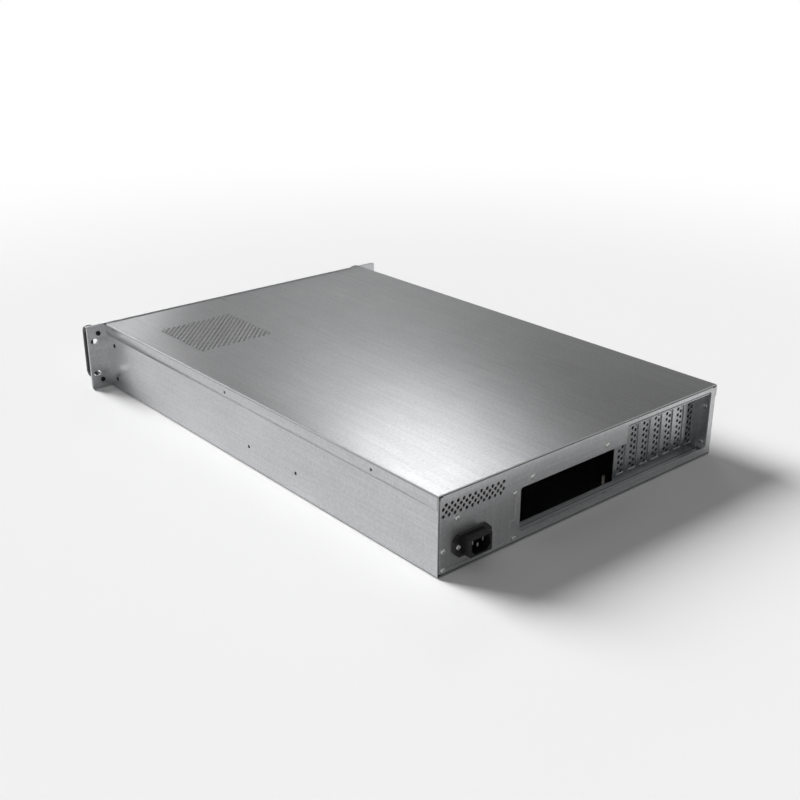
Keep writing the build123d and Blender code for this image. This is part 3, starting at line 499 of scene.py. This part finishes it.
def cross_recess(depth):
    """Depth of a driver's cross at (u, v): full along both arms, sloping away to their ends and sides."""
    def sink(u, v):
        nearest, along = np.minimum(abs(u), abs(v)), np.maximum(abs(u), abs(v))
        side = np.clip((BLADE * 1.4 - nearest) / (BLADE * 0.6), 0, 1)
        end = np.clip((ARM - along) / (ARM * 0.45), 0, 1)
        return depth * side * end
    return sink


def pan_head(radius, height, shank, length):
    """Profile of a pan-head screw from the top's middle to the tip: a flat dome, a rounded side, a shank."""
    crown = np.linspace(0.02, CROWN, 14)
    side = np.linspace(0.2, 1.0, 6) * math.pi / 2
    top = height * (1 - CROWN_RISE * (crown / CROWN) ** 2)
    edge = np.stack([radius * (CROWN + (1 - CROWN) * np.sin(side)),
                     height * (1 - CROWN_RISE) * np.cos(side)], axis=1)
    return [*np.stack([radius * crown, top], axis=1), *edge, (shank, 0.0), (shank, -length), (TIP, -length)]


plate_heads = turned(pan_head(PAN_RADIUS, PAN_HEIGHT, M3, 5.0), [(x, REAR, z) for x, z in PLATE_SCREWS],
                     (0, 1, 0), HEAD_SIDES, cross_recess(1.1))
plate_zinc = bright_metal("bright zinc plating, plate screws", 0.28)
plate_screws = add_mesh("plate_screw_heads", *plate_heads, plate_zinc, "chassis")
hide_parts("plate_screws")

# Mains inlet. One black glass-filled nylon moulding: a flange behind the cut-out, a hood that stands
# out of the case and a socket whose lower corners are cut off. Its faces are spark-eroded, finely matt.
MOULDED_EDGE = 0.35


def black_moulding(name, colour, rough, grit=0.35):
    """Moulded plastic: near-black with a fine even spark-eroded bump, rubbed a little smoother in clouds."""
    material, tree, place, shader = blank_material(name)
    pits = noise(tree, place, grit, 2.0)
    rubbed = noise(tree, place, 14.0, 3.0)
    gloss = mapped(tree, rubbed, (0.3, 0.7), (rough - 0.08, rough + 0.06))
    edge = add(tree, "Bevel", [("Radius", MOULDED_EDGE * MM)], samples=4).outputs[0]
    normal = raised(tree, pits, 0.03, 0.6, edge)
    wire(tree, shader, blend(tree, rubbed, colour, "#1d1d1f"), gloss, normal)
    return material


dress(["mains_inlet"], black_moulding("glass-filled nylon, spark-eroded black", "#0c0c0d", 0.42))

# Inlet pins. Three flat pins stamped from brass and nickel plated. They are set in the moulding, deep
# inside the socket.
dress(["inlet_pins"], bright_metal("nickel plating on brass, pins", 0.25))

# Inlet screws. Two M3 pan-head screws of steel, bright zinc plated. They go through the inlet's flange and
# hold it to the adapter plate.
INLET_X = 169.0
INLET_Z = 26.0
INLET_FLANGE = 3.0
INLET_SCREWS = (-20.0, 20.0)
inlet_spots = [(INLET_X + s, REAR - SHEET + INLET_FLANGE, INLET_Z) for s in INLET_SCREWS]
inlet_heads = turned(pan_head(PAN_RADIUS, 1.6, M3, 6.0), inlet_spots, (0, 1, 0), HEAD_SIDES,
                     cross_recess(0.95))
inlet_zinc = bright_metal("bright zinc plating, inlet screws", 0.3)
inlet_screws = add_mesh("inlet_screw_heads", *inlet_heads, inlet_zinc, "chassis")
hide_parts("inlet_screws")

# Front panel. A flat 2.5 mm steel plate across the whole front, zinc coated as the case is. Its ends are
# the rack ears with their slots, and between them are the air intake and the holes for the controls.
dress(["front_panel"], zinc_sheet("electro-galvanised steel, front panel", "x"))

# Handles. Two solid bows, die cast and powder coated black. Their feet stand on the front of the ears, and
# two screws from behind hold each of them.
HANDLE_X = 226.0
HANDLE_BAR = 8.0
OUTER_CORNER = 8.5
INNER_CORNER = 4.0
SQUARENESS = 0.55         # power in the section's superellipse; 1 would be an ellipse
SECTION_SIDES = 20


def powder_coat(name):
    """Fine black powder coat: satin, with the small even lumps that the powder leaves as it melts."""
    material, tree, place, shader = blank_material(name)
    lumps = noise(tree, place, 0.9, 1.0)
    wire(tree, shader, blend(tree, lumps, "#0b0b0c", "#17171a"), mapped(tree, lumps, target=(0.34, 0.5)),
         raised(tree, lumps, 0.05, 0.6))
    return material


def lofted(rings):
    """Closed skin over rings of equally many points, the first and last closed by one face each."""
    rings = np.asarray(rings, float)
    count, size = rings.shape[:2]
    start = np.arange(count - 1)[:, None] * size
    here, ahead = start + np.arange(size), start + (np.arange(size) + 1) % size
    quads = np.stack([here, ahead, ahead + size, here + size], axis=2).reshape(-1, 4)
    caps = [list(range(size))[::-1], list(range((count - 1) * size, count * size))]
    return rings.reshape(-1, 3), quads.tolist() + caps


def bow_line(out, up, radius):
    """One side of a bow as (reach, height): out along the upper leg, round a corner, down and back."""
    corner = np.linspace(0, math.pi / 2, 9)
    run = np.linspace(0, out - radius, 5)[:-1]
    leg = np.stack([run, np.full(4, up)])
    bend = np.stack([out - radius + radius * np.sin(corner), up - radius + radius * np.cos(corner)])
    grip = np.stack([np.full(7, out), np.linspace(up - radius, radius - up, 9)[1:-1]])
    upper = np.concatenate([leg, bend], axis=1)
    return np.concatenate([upper, grip, upper[:, ::-1] * [[1], [-1]]], axis=1).T


def bow(x, foot_y, reach, middle_z, height, width):
    """Bow handle. A rounded section, a superellipse of the bar's depth and width, is carried from the foot
    along a line with two rounded corners; the inner and outer lines have radii of their own."""
    outer = bow_line(reach, height / 2, OUTER_CORNER)
    inner = bow_line(reach - HANDLE_BAR, height / 2 - HANDLE_BAR, INNER_CORNER)
    around = np.arange(SECTION_SIDES) * 2 * math.pi / SECTION_SIDES
    depth = np.sign(np.cos(around)) * abs(np.cos(around)) ** SQUARENESS
    across = np.sign(np.sin(around)) * abs(np.sin(around)) ** SQUARENESS * width / 2
    place = (outer[:, None] + inner[:, None]) / 2 + (outer - inner)[:, None] / 2 * depth[None, :, None]
    wide = np.broadcast_to(x + across, place.shape[:2])
    return lofted(np.stack([wide, foot_y - place[..., 0], middle_z + place[..., 1]], axis=2)[:, ::-1])


coat = powder_coat("black powder coat, handles")
for side, name in ((1, "left"), (-1, "right")):
    bow_low, bow_high = [np.array(corner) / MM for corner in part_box(f"handle_{name}")]
    size = bow_high - bow_low
    shape = bow(side * HANDLE_X, bow_high[1], size[1], (bow_low[2] + bow_high[2]) / 2, size[2], size[0])
    piece = add_mesh(f"handle_bow_{name}", *shape, coat, "chassis")
    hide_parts(f"handle_{name}")

# Handle screws. Four M4 pan-head screws of steel with black oxide. They are driven from behind the ears
# into the feet of the handles.
PANEL_MIDDLE = 44.05
BOLT_UP = 32.15           # mm from the panel's middle to each screw
M4 = 1.9                  # mm, radius of the shank


def black_oxide(name):
    """Black oxide on steel: dark and slightly blue, with a dull metallic shine where a tool touched it."""
    material, tree, place, shader = blank_material(name)
    worn = noise(tree, place, 0.8, 3.0)
    shader.inputs["Metallic"].default_value = 0.7
    wire(tree, shader, blend(tree, worn, "#18191b", "#2c2d30"), mapped(tree, worn, target=(0.28, 0.5)))
    return material


oxide = black_oxide("black oxide on steel, screws")
bolt_spots = [(side * HANDLE_X, FRONT, PANEL_MIDDLE + up * BOLT_UP) for side in (1, -1) for up in (1, -1)]
handle_heads = turned(pan_head(3.25, 2.0, M4, 11.4), bolt_spots, (0, 1, 0), HEAD_SIDES, cross_recess(1.2))
handle_screws = add_mesh("handle_screw_heads", *handle_heads, oxide, "chassis")
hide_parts("handle_screws")

# Side screws. Four flat-headed screws of steel with black oxide. They join the side walls of the tray to
# the front brackets.
SIDE_SCREWS_Z = (14.4, 60.4)
SIDE_SCREWS_BACK = 18.4   # mm from the tray's front edge
side_heads = joined(*(
    turned(pan_head(2.8, 0.8, M3, 5.0), [(side * WALL_X, FRONT + SIDE_SCREWS_BACK, z) for z in SIDE_SCREWS_Z],
           (side, 0, 0), HEAD_SIDES, cross_recess(0.5))
    for side in (1, -1)
))
side_screws = add_mesh("side_screw_heads", *side_heads, oxide, "chassis")
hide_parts("side_screws")

# Inner brackets. Folded from the same coated sheet: the angles and the bar that hold the front panel,
# the upright for a power supply and the channel for two drives.
inner_zinc = zinc_sheet("electro-galvanised steel, inner brackets", "x")
dress(["front_bracket_left", "front_bracket_right", "front_crossbar", "psu_bracket", "drive_cage"],
      inner_zinc)

# Motherboard posts. Nine hexagonal posts turned from brass bar and nickel plated, so that in the dark of
# the case they are a dull grey, with the lathe's fine rings under the plating.
LATHE_RING = 0.3


def plated_brass(name):
    """Nickel-plated brass, turned: a warm grey metal with fine rings from the tool, square to z."""
    material, tree, place, shader = blank_material(name)
    rings = add(tree, "TexWave", [("Vector", place), ("Scale", 1 / (LATHE_RING * MM * 2 * math.pi)),
                                  ("Distortion", 0.6)], wave_type="BANDS", bands_direction="Z")
    tarnish = noise(tree, place, 3.0, 3.0)
    shader.inputs["Metallic"].default_value = 1.0
    wire(tree, shader, blend(tree, tarnish, "#85827c", "#a8a59c"), mapped(tree, tarnish, target=(0.25, 0.45)),
         raised(tree, rings.outputs["Fac"], 0.01, 0.5))
    return material


dress(["board_standoffs"], plated_brass("nickel-plated brass, motherboard posts"))

# Front controls. Two sprung black buttons with dished caps, on a small green board that also carries
# two socket shells and stands on two aluminium spacers behind the panel.
CONTROL_X = -176.0
BUTTON_RADII = (("power", 6.0), ("reset", 3.0))
CAP_SIDES = 40
BOWL = 0.8                # of a cap's radius: its shallow bowl, inside the rounded rim
BOWL_DEPTH = 0.35
CAP_FLANGE = (-4.8, -7.0)  # mm from the middle of the face to the front and the back of the flange
FLANGE_OUT = 1.5          # mm by which the flange stands out round the cap
STEM = 1.5                # mm, its radius
BOARD_BACK = 13.95        # mm from the tray's front edge to the board's front face


def button_cap(radius, length):
    """Profile of a dished cap from the middle of its face: a shallow bowl, a rounded rim, the side,
    the flange behind the panel and the stem to the switch."""
    bowl = np.linspace(0.03, BOWL, 8) * radius
    rim = np.linspace(0, math.pi / 2, 6)[1:]
    soft = radius * (1 - BOWL)
    dish = np.stack([bowl, BOWL_DEPTH * (bowl / bowl[-1]) ** 2 - BOWL_DEPTH], axis=1)
    edge = np.stack([radius * BOWL + soft * np.sin(rim), soft * (np.cos(rim) - 1)], axis=1)
    front, back = CAP_FLANGE
    return [*dish, *edge, (radius, front), (radius + FLANGE_OUT, front), (radius + FLANGE_OUT, back),
            (STEM, back), (STEM, -length), (TIP, -length)]


def laminate(name, board_front):
    """Glass-epoxy board: solder resist of a deep green with the weave of the cloth just showing, and the
    black switch housings that stand in front of it."""
    material, tree, place, shader = blank_material(name)
    weave = add(tree, "TexChecker", [("Vector", place), ("Scale", 1 / (1.2 * MM)),
                                     ("Color1", linear("#1c5a33")), ("Color2", linear("#1a5230"))])
    depth = add(tree, "SeparateXYZ", [("Vector", place)])
    front = reckoned(tree, "LESS_THAN", depth.outputs["Y"], board_front * MM)
    shader.inputs["Roughness"].default_value = 0.3
    wire(tree, shader, blend(tree, front, weave.outputs["Color"], "#141415"))
    return material


button_black = black_moulding("ABS, polished black", "#09090a", 0.24, 0.8)
for name, radius in BUTTON_RADII:
    cap_low, cap_high = [np.array(corner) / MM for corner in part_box(f"{name}_button")]
    spot = (CONTROL_X, cap_low[1], (cap_low[2] + cap_high[2]) / 2)
    cap = turned(button_cap(radius, cap_high[1] - cap_low[1]), [spot], (0, -1, 0), CAP_SIDES)
    piece = add_mesh(f"{name}_button_cap", *cap, button_black, f"{name}_key")
    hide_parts(f"{name}_button")
dress(["control_board"], laminate("glass-epoxy laminate, green", FRONT + BOARD_BACK))
dress(["usb_sockets"], bright_metal("nickel plating on steel, socket shells", 0.3))
dress(["control_spacers"], bright_metal("turned aluminium, spacers", 0.4))

# Indicator lenses. Two short rods of clear acrylic, frosted a little inside, that carry the light of the
# board's lamps to the front.


def clear_acrylic(name, tint):
    """Clear acrylic rod: glossy face, with a cloudy body that scatters what light gets in."""
    material, tree, place, shader = blank_material(name)
    wire(tree, shader, blend(tree, noise(tree, place, 0.6, 2.0), tint, "#e8ebe8"))
    shader.inputs["Roughness"].default_value = 0.12
    shader.inputs["IOR"].default_value = 1.49
    shader.inputs["Transmission Weight"].default_value = 0.6
    return material


dress(["led_lenses"], clear_acrylic("clear acrylic, indicator lenses", "#c9d3cb"))

# Top cover. One sheet with its long sides folded down over the walls, a square field of round vents
# above the power supply, two sunk screw holes in each side flange and one in the front edge.
FIELD_MIDDLE = (122.0, 123.75)      # across, and from the front
COVER_HOLE = 1.9
FLANGE_HOLES_Y = (290.7, 554.3)
FLANGE_HOLES_Z = 79.0
FRONT_HOLE = (39.5, 10.5)
DEBURRED = 0.6
cover_low, cover_high = [np.array(corner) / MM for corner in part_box("top_cover")]
side_line = cover_high[0] - BEND - SHEET
half = side_line + flange(cover_high[2] - cover_low[2])
cover_outline = [(-half, cover_low[1]), (half, cover_low[1]), (half, cover_high[1]), (-half, cover_high[1])]
field = staggered(28, 14, VENT_PITCH, VENT_STEP) + (FIELD_MIDDLE[0], FRONT + FIELD_MIDDLE[1])
hole_x = side_line + flange(cover_high[2] - FLANGE_HOLES_Z)
screw_holes = [(side * hole_x, FRONT + y, COVER_HOLE) for side in (1, -1) for y in FLANGE_HOLES_Y]
screw_holes.append((FRONT_HOLE[0], FRONT + FRONT_HOLE[1], COVER_HOLE))
holes = [*np.insert(field, 2, VENT_RADIUS, axis=1), *screw_holes]
sheet, faces = folded_sheet(cover_outline, [], holes, [(0, side_line, 1), (0, -side_line, -1)])
points = np.stack([sheet[:, 0], sheet[:, 1], cover_high[2] - sheet[:, 2]], axis=1)
cover_zinc = zinc_sheet("electro-galvanised steel, top cover", "y")
cover = add_mesh("top_cover_sheet", points, faces, cover_zinc, "cover", cut_edge=cut_steel)
edges = np.empty(2 * len(cover.data.edges), int)
cover.data.edges.foreach_get("vertices", edges)
ends = points[edges.reshape(-1, 2)]
rim = (abs(ends[..., 2] - cover_low[2]) < 0.01) & (abs(abs(ends[..., 0]) - cover_high[0]) < 0.01)
weight = cover.data.attributes.new("bevel_weight_edge", "FLOAT", "EDGE")
weight.data.foreach_set("value", rim.all(axis=1).astype(float))
deburred = cover.modifiers.new("deburred flange edge", "BEVEL")
deburred.limit_method = "WEIGHT"
deburred.width = DEBURRED * MM
deburred.segments = 2
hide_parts("top_cover")

# Floor. A plain white studio sweep under the case, not part of it. It takes the lamps' light and the
# case's shadow near by, and passes into an even white further out, as a backdrop does.
FLOOR_GAP = 0.4           # mm under the case, so that the two don't meet in one plane
FLOOR_RADIUS = 40         # m
FLOOR_SIDES = 48
SWEEP = (0.6, 1.8)        # m from the case's middle, where the floor passes into even white


def seen_directly(tree):
    """1 for what the camera sees, in metal and through clear parts too, and 0 for the light that is cast."""
    rays = add(tree, "LightPath").outputs
    seen = reckoned(tree, "MAXIMUM", rays["Is Camera Ray"], rays["Is Glossy Ray"])
    return reckoned(tree, "MAXIMUM", seen, rays["Is Transmission Ray"])


floor_mesh = bpy.data.meshes.new("floor")
around = np.arange(FLOOR_SIDES) * 2 * math.pi / FLOOR_SIDES
level = np.full(FLOOR_SIDES, -FLOOR_GAP * MM)
rim = np.stack([FLOOR_RADIUS * np.cos(around), FLOOR_RADIUS * np.sin(around), level], axis=1)
floor_mesh.from_pydata(rim.tolist(), [], [tuple(range(FLOOR_SIDES))])
floor = bpy.data.objects.new("floor", floor_mesh)
bpy.context.scene.collection.objects.link(floor)
paper, tree, place, shader = blank_material("matt white paper, studio sweep")
shader.inputs["Base Color"].default_value = linear("#fcfcfc")
shader.inputs["Roughness"].default_value = 0.9
shader.inputs["Specular IOR Level"].default_value = 0.1
white = add(tree, "Emission", [("Color", linear("#ffffff")), ("Strength", seen_directly(tree))])
away = add(tree, "VectorMath", [(0, place)], operation="LENGTH").outputs["Value"]
far = mapped(tree, away, SWEEP, smooth=True)
sweep = add(tree, "MixShader", [(0, far), (1, shader.outputs[0]), (2, white.outputs[0])])
surface = [node for node in tree.nodes if node.type == "OUTPUT_MATERIAL"][0]
tree.links.new(sweep.outputs[0], surface.inputs["Surface"])
floor_mesh.materials.append(paper)

# Studio. White at the horizon, where the sweep meets it, and grey above, as in a dim room over a lit
# table, paler towards the rear. Far soft lamps light it: the key beyond the front end, three weak ones
# whose glare lies on the cover, and a fill from the near side.
CAST = 0.55               # of the room's brightness: what it casts as light
SIDES, REAR_END, CEILING = "#6a6a6a", "#a6a6a6", "#a0a0a0"
TO_REAR = (-0.1, 0.6)     # how far a direction points to the rear, where the walls grow paler
OVER_HORIZON = (0.02, 0.2)  # how far it points up, where the walls begin
OVERHEAD = (0.6, 0.95)    # and where the ceiling does


def soft_lamp(name, heading, height, width, strength):
    """Far lamp at a heading from +X and a height over the floor. Its width is the angle that it fills, and
    all three are in degrees."""
    lamp = bpy.data.lights.new(name, "SUN")
    lamp.angle, lamp.energy = math.radians(width), strength
    piece = bpy.data.objects.new(name, lamp)
    piece.rotation_euler = (math.radians(90 - height), 0.0, math.radians(heading + 90))
    bpy.context.scene.collection.objects.link(piece)


world = bpy.data.worlds.new("studio")
bpy.context.scene.world = world
world.use_nodes = True
tree = world.node_tree
tree.nodes.clear()
heading = add(tree, "SeparateXYZ", [("Vector", add(tree, "TexCoord").outputs["Generated"])]).outputs
walls = blend(tree, mapped(tree, heading["Y"], TO_REAR, smooth=True), SIDES, REAR_END)
room = blend(tree, mapped(tree, heading["Z"], OVER_HORIZON, smooth=True), "#ffffff", walls)
room = blend(tree, mapped(tree, heading["Z"], OVERHEAD, smooth=True), room, CEILING)
level = mapped(tree, seen_directly(tree), target=(CAST, 1.0))
sky = add(tree, "Background", [("Color", room), ("Strength", level)])
add(tree, "OutputWorld", [("Surface", sky.outputs[0])])
soft_lamp("key", 285, 32, 30, 4.1)
soft_lamp("glare", 232, 33, 8, 0.087)
soft_lamp("low glare", 227, 28, 8, 0.03)
soft_lamp("corner glare", 246, 15, 6, 0.042)
soft_lamp("near fill", 25, 28, 30, 0.15)

# Camera. It stands where the corners of the case in the photograph put it, and its lens is the one that
# fits them.
view = bpy.data.cameras.new("camera")
view.lens = 50.58
view.sensor_width = 36.0
camera = bpy.data.objects.new("camera", view)
camera.location = (0.8313, 1.0078, 0.5573)
camera.rotation_euler = [math.radians(a) for a in (67.61, 0.0, 139.55)]
bpy.context.scene.collection.objects.link(camera)
bpy.context.scene.camera = camera
bpy.context.scene.view_settings.view_transform = "Standard"
